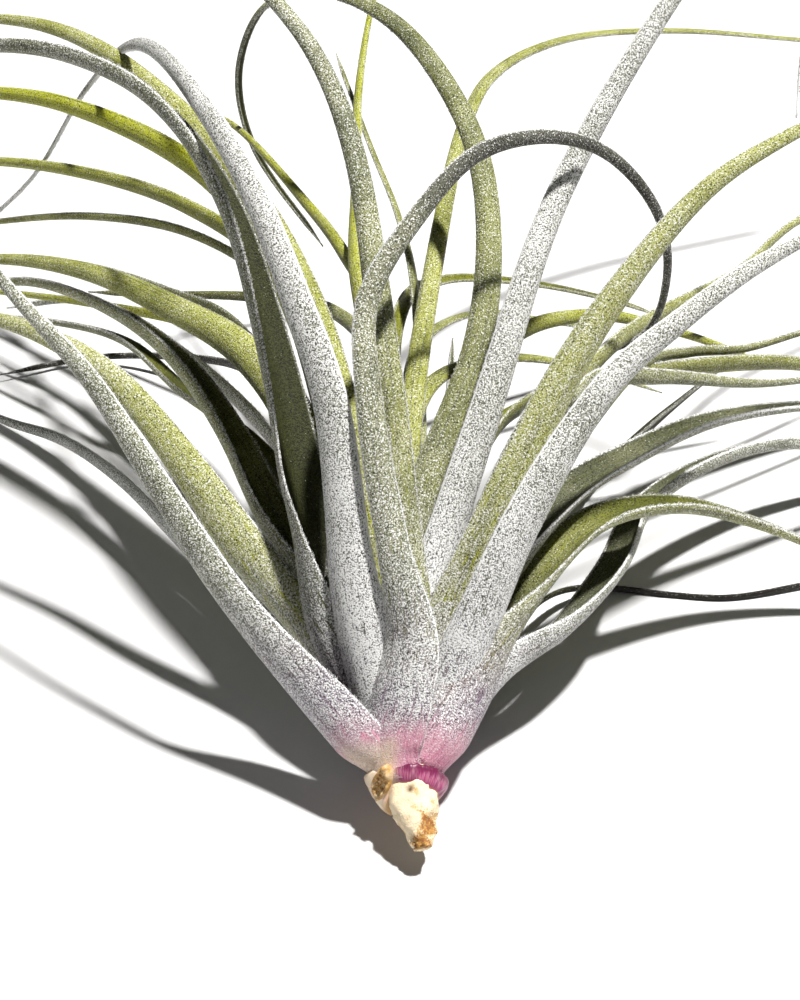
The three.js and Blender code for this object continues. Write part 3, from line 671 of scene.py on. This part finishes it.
class LeafFinish(Finish):
    """A leaf: green tissue, rose at the base, dark at some tips and in the channel, under a coat of
    silver scales with painted shade between them; the dark tips and channel are partly painted
    shade.
    """

    def __init__(self, name):
        super().__init__(name)
        self.spot = self.place()
        self.along = self.attribute("along")
        self.near_base = self.band(self.along, *VIOLET_LENGTHS, 0.5, 0)
        self.patches = self.noise(self.spot, PATCH_SIZE)
        self.bare = self.times(self.attribute("bare"), self.band(self.along, *BARE_LENGTHS, 1, 0))
        self.green = self.add(self.attribute("green"), self.bare)
        # The inner face darkens the less green a leaf is: partly the channel's own darker tone,
        # partly painted shade in the channel.
        self.channel_tone_and_shade = self.times(self.attribute("inner"), self.less(1, self.green), clamp=True)
        # Tips darken and brown: withering, and on leaf_curl's arch and a few low dark leaves painted
        # shade.
        dryness_and_shade = self.attribute("dryness_and_shade")
        early = self.add(self.attribute("share"), self.times(dryness_and_shade, TIP_DARK_LEAD))
        self.dried_tip_and_shade = self.times(dryness_and_shade, self.band(early, *TIP_DARK_SHARES))
        rise = self.times(self.attribute("rise"), HEIGHT_STRETCH)
        self.height = self.add(rise, self.times(self.patches, HEIGHT_UNEVENNESS))
        coarse = self.noise(self.spot, COARSE_GRAIN, detail=2, roughness=0.6)
        fine = self.noise(self.spot, FINE_GRAIN, detail=1)
        self.grain = self.add(self.times(coarse, 0.65), self.times(fine, 0.35))

    def strands(self, count, stretch, detail):
        """Random values in strands along the blade, about so many from its midrib to a margin."""
        across = self.times(self.attribute("across"), count)
        strand = self.vector(across, self.times(self.along, stretch), self.green)
        return self.noise(strand, 1, detail=detail)

    def tissue(self):
        """Olive to lime with darker veins, darker in the channel by its own tone and by painted
        shade, and brown towards some tips by withering and by painted shade.
        """
        lush = self.add(self.green, self.times(self.less(self.patches, 0.5), 0.9))
        tissue = self.mix(self.band(lush, 0.1, 0.9), OLIVE, LIME)
        veins = self.band(self.strands(7, 0.05, 3), 0.45, 0.75, 0, 0.6)
        tissue = self.mix(veins, tissue, DEEP_OLIVE)
        tissue = self.mix(self.channel_tone_and_shade, tissue, DEEP_OLIVE)
        return self.mix(self.dried_tip_and_shade, tissue, DRIED_BROWN_AND_SHADE)

    def flushed(self, tissue):
        """Lilac above rose above the collar, with magenta on the right and cream on the left."""
        fibres = self.strands(22, 0.3, 2)
        rose = self.mix(self.band(fibres, 0.25, 0.75), ROSE, PINK)
        magenta = self.mix(self.band(fibres, 0.2, 0.7), MAGENTA, ROSE)
        side = self.axis(self.spot, 0)
        at_right = self.band(side, 1, 5, 0.1, 0.7)
        at_left = self.band(side, 0, 3, 0.75, 0)
        tissue = self.mix(self.band(self.height, *LILAC_HEIGHTS, 0.8, 0), tissue, LILAC)
        tissue = self.mix(self.band(self.height, *ROSE_HEIGHTS, 0.9, 0), tissue, rose)
        tissue = self.mix(self.band(self.height, *MAGENTA_HEIGHTS, at_right, 0), tissue, magenta)
        return self.mix(self.band(self.height, *CREAM_HEIGHTS, at_left, 0), tissue, CREAM)

    def coat(self):
        """How thickly the scales lie: more at margins, fewer at the collar, and fewer in the
        channel, as part of its painted shade.
        """
        cover = self.attribute("cover")
        loose = self.times(self.less(self.patches, 0.5), 0.6)
        at_margin = self.band(self.along, *MARGIN_LENGTHS, 0.6, 1)
        margin = self.band(self.attribute("from_edge"), *MARGIN_WIDTHS, at_margin, 0)
        dashes = self.band(self.strands(16, 0.25, 1), 0.6, 0.68, 0, 0.6)
        dashes = self.times(dashes, self.band(self.along, *DASH_LENGTHS, 1, 0.25))
        coat = self.add(cover, self.add(self.band(self.height, *SCALE_HEIGHTS, -0.6, 0), loose))
        coat = self.add(coat, self.times(margin, self.times(cover, 1.2)))
        coat = self.add(coat, self.times(self.near_base, 0.45))
        coat = self.less(coat, self.add(dashes, self.bare))
        coat = self.less(coat, self.times(self.dried_tip_and_shade, 0.3))
        return self.less(coat, self.times(self.channel_tone_and_shade, 0.7))

    def scaly(self, tissue):
        """The tissue under a film, with painted shade between the scales, olive speckle in the
        channel's painted shade, and then the scales.
        """
        coat = self.coat()
        film = self.times(self.math("MAXIMUM", coat, 0), 0.8, clamp=True)
        colour = self.mix(film, tissue, self.mix(self.near_base, SCALE_GREY, SCALE_VIOLET))
        # Near-black painted shade in the spaces between the scales, fainter near the collar.
        gap_shade_top = self.less(0.47, self.times(coat, 0.03))
        gap_shade_top = self.add(gap_shade_top, self.times(self.near_base, 0.02))
        gap_shade = self.band(self.grain, self.less(gap_shade_top, 0.05), gap_shade_top, 0.95, 0)
        gap_shade = self.times(gap_shade, self.band(self.height, *GAP_SHADE_HEIGHTS, 0.3, 1))
        colour = self.mix(gap_shade, colour, SCALE_GAP_SHADE)
        # Olive speckle and fewer white scales in the channel, as part of its painted shade.
        shade_specks = self.times(self.channel_tone_and_shade, self.band(self.grain, 0.42, 0.6, 0, 0.15))
        colour = self.mix(shade_specks, colour, SHADE_SPECK_OLIVE)
        scale_low = self.less(0.63, self.times(coat, 0.14))
        scale_low = self.add(scale_low, self.times(self.channel_tone_and_shade, 0.05))
        scales = self.band(self.grain, scale_low, self.add(scale_low, 0.03))
        return self.mix(scales, colour, SCALE_WHITE), self.band(scales, 0, 1, 0.45, 0.7)


def leaf_finish(name):
    finish = LeafFinish(name)
    colour, roughness = finish.scaly(finish.flushed(finish.tissue()))
    finish.bump(finish.grain, 0.35, 0.8)
    return finish.finish(colour, roughness, shine=0.15)


def stem_finish():
    """The stub: cream and smooth, with ochre stains, torn and brown where it broke."""
    finish = Finish("stem_cork")
    place = finish.place()
    blotch = finish.noise(place, 1.8, detail=4, roughness=0.6)
    cork = finish.noise(place, 0.3, detail=3)
    colour = finish.mix(finish.band(blotch, 0.56, 0.7, 0, 0.7), CREAM, OCHRE)
    torn = finish.add(finish.attribute("torn"), finish.less(cork, 0.5))
    torn = finish.add(torn, finish.less(blotch, 0.5))
    broken = finish.mix(finish.band(finish.noise(place, 0.7, detail=3), 0.4, 0.6), TORN_BROWN, OCHRE)
    colour = finish.mix(finish.band(torn, 0.2, 0.4, 0, 0.6), colour, OCHRE)
    colour = finish.mix(finish.band(torn, 0.35, 0.55), colour, broken)
    colour = finish.mix(finish.band(torn, 1.0, 1.15, 0, 0.9), colour, PIT_BROWN)
    colour = finish.mix(finish.attribute("pit"), colour, PIT_BROWN)
    colour = finish.mix(finish.band(cork, 0.62, 0.74, 0, 0.3), colour, OCHRE)
    finish.bump(cork, 0.25, 0.6)
    return finish.finish(colour, 0.8)


def rim_finish():
    """The collar's rolled rim: purple to magenta where it is ripe, cream and pink elsewhere, with
    painted shade along its top edge where it is ripe and a painted highlight in pink streaks along
    its middle.
    """
    finish = Finish("rim_tissue")
    place = finish.place()
    ripe = finish.attribute("ripe")
    low = finish.attribute("low")
    streak = finish.vector(finish.times(finish.attribute("round"), 30), low, 0)
    streaks = finish.noise(streak, 1, detail=1)
    blotch = finish.noise(place, 3, detail=2)
    # Purple along the top edge, where the rim tucks under the sheath, is painted shade in that
    # crease.
    ripe_with_crease_shade = finish.mix(finish.band(low, -0.8, 0.1), PURPLE, MAGENTA)
    ripe_with_crease_shade = finish.mix(finish.band(blotch, 0.45, 0.65, 0, 0.5), ripe_with_crease_shade, PURPLE)
    pale = finish.mix(finish.band(blotch, 0.45, 0.75, 0, 0.7), CREAM, PINK)
    colour = finish.mix(finish.band(ripe, 0.1, 0.8), pale, ripe_with_crease_shade)
    # The pink streaks along the middle of the roll are a painted highlight.
    middle = finish.times(finish.band(low, -0.7, -0.1), finish.band(low, 0.1, 0.7, 1, 0))
    shine = finish.times(finish.band(streaks, 0.35, 0.7, 0, 0.4), middle)
    colour = finish.mix(shine, colour, PINK)
    colour = finish.mix(finish.band(low, 0.5, 0.95, 0, 0.85), colour, OCHRE)
    finish.bump(streaks, 0.15, 0.4)
    return finish.finish(colour, 0.4)


def scar_finish():
    """The scar of a lost leaf: a yellow lip round a torn brown and cream hollow."""
    finish = Finish("scar_cork")
    place = finish.place()
    grain = finish.noise(place, 0.5, detail=3, roughness=0.6)
    hollow = finish.attribute("hollow")
    torn = finish.mix(finish.band(grain, 0.45, 0.65, 0, 0.7), OCHRE, CREAM)
    torn = finish.mix(finish.band(grain, 0.46, 0.4, 0, 0.8), torn, TORN_BROWN)
    torn = finish.mix(finish.band(grain, 0.36, 0.32, 0, 0.8), torn, PIT_BROWN)
    stain = finish.band(finish.noise(place, 1.6, detail=3), 0.4, 0.6, 0.45, 0.95)
    lip = finish.mix(stain, CREAM, OCHRE)
    colour = finish.mix(finish.band(hollow, 0.3, 0.7), lip, torn)
    finish.bump(grain, 0.3, 0.8)
    return finish.finish(colour, 0.8)


def leaf_pieces(finishes):
    """One fine blade for each CAD leaf, outermost sheath first."""
    for order, (name, own) in enumerate(LEAVES.items()):
        share_of_order = order / (len(LEAVES) - 1)
        span = INNER_SHEATH_EXTRA - OUTER_SHEATH_EXTRA
        sheath = OUTER_SHEATH_EXTRA + span * math.sqrt(share_of_order)
        leaf = {**USUAL_LEAF, "sheath": sheath, **own}
        rings, outward, form = blade_form(leaf, share_of_order)
        for key in ("cover", "green", "bare", "dryness_and_shade"):
            form[key] = np.full(rings.shape[:2], leaf[key])
        scales, scale_faces, scale_form = fuzz(rings, outward, form, order)
        scale_form["cover"] = scale_form["cover"] + SCALE_COVER
        points = np.vstack([rings.reshape(-1, 3), scales.reshape(-1, 3)])
        faces = tube_faces(*rings.shape[:2]) + scale_faces
        values = {key: np.append(form[key], scale_form[key]) for key in form}
        piece = add_piece(f"{name}_blade", points, faces, finishes[leaf["finish"]], values)
        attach(piece, "root")
        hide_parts(name)


# The stub: how finely it is made, its lumps and crumbs, its pit, and where it broke
STEM_SIDES = 48
STEM_SPACING = 0.3
LUMPS_PER_MM = 0.3
LUMP_HEIGHT = 0.7
CRUMBS_PER_MM = 1.6
CRUMB_HEIGHT = 0.2
TORN_CRUMB_EXTRA = 0.6
PIT_PLACE = (0.1, -13.8, 13.4)
PIT_SIZE = 0.7
PIT_DEPTH = 1.1
TORN_PLACES = [(3.8, -17.8, 9.3), (1.7, -20.3, 7.2)]
TORN_SIZE = 1.9
TORN_DEPTH = 0.35


def nearness(spot, place, size):
    """One at the place, and fading to nothing within about twice the size."""
    return math.exp(-(((spot - Vector(place)).length / size) ** 2))


def stem_piece(material):
    """The stem and its stub: lumpy, with a small pit and two torn places near its end."""
    centres, tangents, length = even_curve(STEM_POINTS, STEM_SPACING)
    share = np.linspace(0, 1, len(centres))
    knots = np.array(STEM_POINTS, float)
    knot_run = np.append(0, np.cumsum(np.linalg.norm(np.diff(knots, axis=0), axis=1)))
    radii = np.interp(share * knot_run[-1], knot_run, STEM_RADII)
    side = unit(np.cross((1, 0, 0), tangents))
    over = np.cross(tangents, side)
    angle = np.linspace(0, 2 * math.pi, STEM_SIDES, endpoint=False)
    way = side[:, None] * np.cos(angle)[None, :, None] + over[:, None] * np.sin(angle)[None, :, None]
    rings = centres[:, None] + way * radii[:, None, None]
    torn = np.zeros(rings.shape[:2])
    pit = np.zeros(rings.shape[:2])
    for station in range(len(centres)):
        for k in range(STEM_SIDES):
            spot = Vector(rings[station, k])
            lump = noise.fractal(spot * LUMPS_PER_MM, 1, 2, 2) * LUMP_HEIGHT
            crumb = noise.fractal(spot * CRUMBS_PER_MM, 1, 2, 3)
            in_pit = nearness(spot, PIT_PLACE, PIT_SIZE)
            broken = max(nearness(spot, place, TORN_SIZE) for place in TORN_PLACES)
            push = lump + crumb * (CRUMB_HEIGHT + TORN_CRUMB_EXTRA * broken)
            push -= in_pit * PIT_DEPTH + broken * TORN_DEPTH
            rings[station, k] += way[station, k] * push
            pit[station, k] = in_pit
            torn[station, k] = broken
    values = {"torn": torn, "pit": pit}
    piece = add_piece("stem_stub", rings, tube_faces(*rings.shape[:2]), material, values)
    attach(piece, "root")
    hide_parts("stem")


# The collar's rim: its place along the plant's axis and out from it, how far its right side drops,
# its size, how much closer to the axis each millimetre further down is, and its unevenness
RIM_HEIGHT = -1.4
RIM_RADIUS = 5.3
RIM_DROP = 1.1
RIM_HALF_HEIGHT = 1.7
RIM_HALF_THICKNESS = 0.8
RIM_NARROWING = 0.55
RIM_WAVES_PER_MM = 0.5
RIM_WAVE = 0.35
CRIMP_DEGREES = 9
CRIMP = 0.05

# Where the rim starts and how far it runs, in degrees round the axis from +X over the top, and how
# finely it is made
RIM_START = -80
RIM_SWEEP = 340
RIM_STATIONS = 160
RIM_SIDES = 20

# Where the rim is ripe, which is purple and full, how far it stays so and where it has paled, and
# how thin, how low and how much further in it is there
RIPE_MIDDLE = 35
RIPE_REACH = 52.5
PALE_REACH = 97.5
PALE_THIN = 0.6
PALE_LOW = 0.7
PALE_INSET = 0.4

# The pale left end of the lowest sheath, where the rim swells and reaches down towards the stub
SWELL_MIDDLE = 178
SWELL_SWEEP = 75
SWELL_EXTRA = 2
SWELL_NARROWING = 0.12
SWELL_THICK = 0.4


def round_axis(angle):
    """The way out from the plant's axis at an angle from +X, turning over the top."""
    over = np.cross((1, 0, 0), AXIS)
    return np.cos(angle) * np.array((1, 0, 0)) + np.sin(angle) * over


def rim_piece(material):
    """The rolled rim where the outer sheaths end, round the stub."""
    turn = np.radians(RIM_START + RIM_SWEEP * np.linspace(0, 1, RIM_STATIONS))
    section = np.linspace(0, 2 * math.pi, RIM_SIDES, endpoint=False)
    away = np.abs((np.degrees(turn) - RIPE_MIDDLE + 180) % 360 - 180)
    ripe = 1 - smoothstep(away, RIPE_REACH, PALE_REACH)
    rings = []
    for angle, full in zip(turn, ripe):
        out = round_axis(angle)
        swell = 1 - smoothstep(abs(math.degrees(angle) - SWELL_MIDDLE), 0, SWELL_SWEEP)
        thick = RIM_HALF_THICKNESS * (PALE_THIN + (1 - PALE_THIN) * full + SWELL_THICK * swell)
        tall = RIM_HALF_HEIGHT * (PALE_LOW + (1 - PALE_LOW) * full) + SWELL_EXTRA * swell
        narrowing = RIM_NARROWING + SWELL_NARROWING * swell
        height = RIM_HEIGHT - RIM_DROP * max(math.cos(angle), 0) ** 2 - SWELL_EXTRA * swell
        centre = COLLAR + AXIS * height + out * (RIM_RADIUS - PALE_INSET * (1 - full))
        ring = []
        for spin in section:
            lower = math.sin(spin) * tall
            point = centre + out * (math.cos(spin) * thick - lower * narrowing) - AXIS * lower
            wave = noise.fractal(Vector(point) * RIM_WAVES_PER_MM, 1, 2, 3) * RIM_WAVE
            crease = Vector((math.degrees(angle) / CRIMP_DEGREES, math.sin(spin), 0))
            crimp = noise.fractal(crease, 1, 2, 2) * CRIMP
            ring.append(point + (out * math.cos(spin) - AXIS * math.sin(spin)) * (wave + crimp))
        rings.append(ring)
    rings = np.array(rings)
    values = {
        "ripe": np.repeat(ripe[:, None], RIM_SIDES, axis=1),
        "round": np.repeat(turn[:, None], RIM_SIDES, axis=1),
        "low": np.repeat(np.sin(section)[None], RIM_STATIONS, axis=0),
    }
    piece = add_piece("collar_rim", rings, tube_faces(*rings.shape[:2]), material, values)
    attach(piece, "root")


# The scar: its place round the plant's axis, along it and out from it, its size, how far it faces
# down towards the stub, how it is rolled, and its unevenness in front and behind
SCAR_ANGLE = math.radians(136)
SCAR_HEIGHT = -2.4
SCAR_OUT = 6
SCAR_HALF_WIDTH = 1.5
SCAR_HALF_LENGTH = 3.6
SCAR_TILT = 0.7
SCAR_ROLL = math.radians(50)
SCAR_SIDES = 40
SCAR_BUMPS_PER_MM = 1.1
SCAR_BUMP = 0.6
SCAR_BACK_BUMP = 0.2

# The scar's section, first in front from its hollow out over the lip, then behind: each ring's
# share of the half width and half length, and its height
SCAR_FRONT = [
    (0.02, 0.1), (0.2, 0.1), (0.35, 0.1), (0.5, 0.12), (0.6, 0.18), (0.68, 0.28), (0.75, 0.36),
    (0.82, 0.4), (0.9, 0.32), (0.97, 0.05),
]
SCAR_BACK = [(1, -0.35), (0.97, -0.8), (0.85, -1.2), (0.5, -1.4), (0.02, -1.45)]
SCAR_HOLLOW_SHARE = 0.66


def scar_piece(material):
    """The oval scar of a lost leaf beside the stub: a raised lip round a rough hollow."""
    out = round_axis(SCAR_ANGLE)
    normal = unit(out - AXIS * SCAR_TILT)
    level = unit(np.cross(AXIS, normal))
    steep = np.cross(-normal, level)
    wide = level * math.cos(SCAR_ROLL) + steep * math.sin(SCAR_ROLL)
    long = steep * math.cos(SCAR_ROLL) - level * math.sin(SCAR_ROLL)
    middle = COLLAR + AXIS * SCAR_HEIGHT + out * SCAR_OUT
    spin = np.linspace(0, 2 * math.pi, SCAR_SIDES, endpoint=False)
    rings = []
    hollow = []
    for order, (share, rise) in enumerate(SCAR_FRONT + SCAR_BACK):
        in_front = order < len(SCAR_FRONT)
        bump = SCAR_BUMP if in_front else SCAR_BACK_BUMP
        offset = wide * np.cos(spin)[:, None] * SCAR_HALF_WIDTH * share
        offset = offset + long * np.sin(spin)[:, None] * SCAR_HALF_LENGTH * share
        ring = middle + offset + normal * rise
        for k in range(SCAR_SIDES):
            rough = noise.fractal(Vector(ring[k]) * SCAR_BUMPS_PER_MM, 1, 2, 4) * bump
            ring[k] = ring[k] + normal * rough
        rings.append(ring)
        inside = in_front and share < SCAR_HOLLOW_SHARE
        hollow.append(np.full(SCAR_SIDES, 1.0 if inside else 0.0))
    rings = np.array(rings)
    values = {"hollow": np.array(hollow)}
    piece = add_piece("torn_scar", rings, tube_faces(*rings.shape[:2]), material, values)
    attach(piece, "root")


# The floor, in metres, but for the size of its blotches in millimetres
FLOOR_HALF_SIZE = 3.0
FLOOR_BLOTCH = 60


def floor_piece():
    finish = Finish("floor_paint")
    tone = finish.noise(finish.place(), FLOOR_BLOTCH)
    material = finish.finish(finish.mix(tone, FLOOR_GREY, FLOOR_LIGHT), 0.9)
    mesh = bpy.data.meshes.new("floor")
    near, far = -FLOOR_HALF_SIZE, FLOOR_HALF_SIZE
    corners = [(near, near, 0), (far, near, 0), (far, far, 0), (near, far, 0)]
    mesh.from_pydata(corners, [], [(0, 1, 2, 3)])
    mesh.materials.append(material)
    floor = bpy.data.objects.new("floor", mesh)
    bpy.context.collection.objects.link(floor)


# The lights, in metres and watts: a key from high on the right, a weak fill, and a faint sky
LIT_PLACE = (0, 0, 0.03)
KEY_PLACE = (0.62, -0.1, 2.32)
KEY_SIZE = 0.14
KEY_POWER = 130
KEY_COLOUR = (1, 0.985, 0.96)
FILL_PLACE = (-0.3, -0.7, 0.5)
FILL_SIZE = 0.6
FILL_POWER = 0.5
FILL_COLOUR = (1, 1, 1)
SKY_COLOUR = (0.95, 0.97, 1, 1)
SKY_STRENGTH = 0.05


def area_light(name, place, size, power, colour):
    data = bpy.data.lights.new(name, "AREA")
    data.shape = "DISK"
    data.size = size
    data.energy = power
    data.color = colour
    light = bpy.data.objects.new(name, data)
    light.location = place
    light.rotation_euler = (Vector(LIT_PLACE) - Vector(place)).to_track_quat("-Z", "Y").to_euler()
    bpy.context.collection.objects.link(light)


def add_lights():
    world = bpy.data.worlds.new("studio")
    world.use_nodes = True
    background = world.node_tree.nodes["Background"]
    background.inputs["Color"].default_value = SKY_COLOUR
    background.inputs["Strength"].default_value = SKY_STRENGTH
    bpy.context.scene.world = world
    area_light("key", KEY_PLACE, KEY_SIZE, KEY_POWER, KEY_COLOUR)
    area_light("fill", FILL_PLACE, FILL_SIZE, FILL_POWER, FILL_COLOUR)
    bpy.context.scene.view_settings.view_transform = "Standard"


# The photo's view, in metres and degrees: close in front of the stub, looking down on the plant
CAMERA_PLACE = (0.0022, -0.2803, 0.2144)
CAMERA_DOWN = 38
CAMERA_LENS = 61.2
CAMERA_SENSOR = 36


def add_camera():
    data = bpy.data.cameras.new("camera")
    data.lens = CAMERA_LENS
    data.sensor_width = CAMERA_SENSOR
    data.clip_start = 0.01
    camera = bpy.data.objects.new("camera", data)
    camera.location = CAMERA_PLACE
    camera.rotation_euler = (math.radians(90 - CAMERA_DOWN), 0, 0)
    bpy.context.collection.objects.link(camera)
    bpy.context.scene.camera = camera


stem_piece(stem_finish())
rim_piece(rim_finish())
scar_piece(scar_finish())
leaf_pieces({key: leaf_finish(f"leaf_{key}") for key in ("silver", "lime", "olive")})
floor_piece()
add_lights()
add_camera()
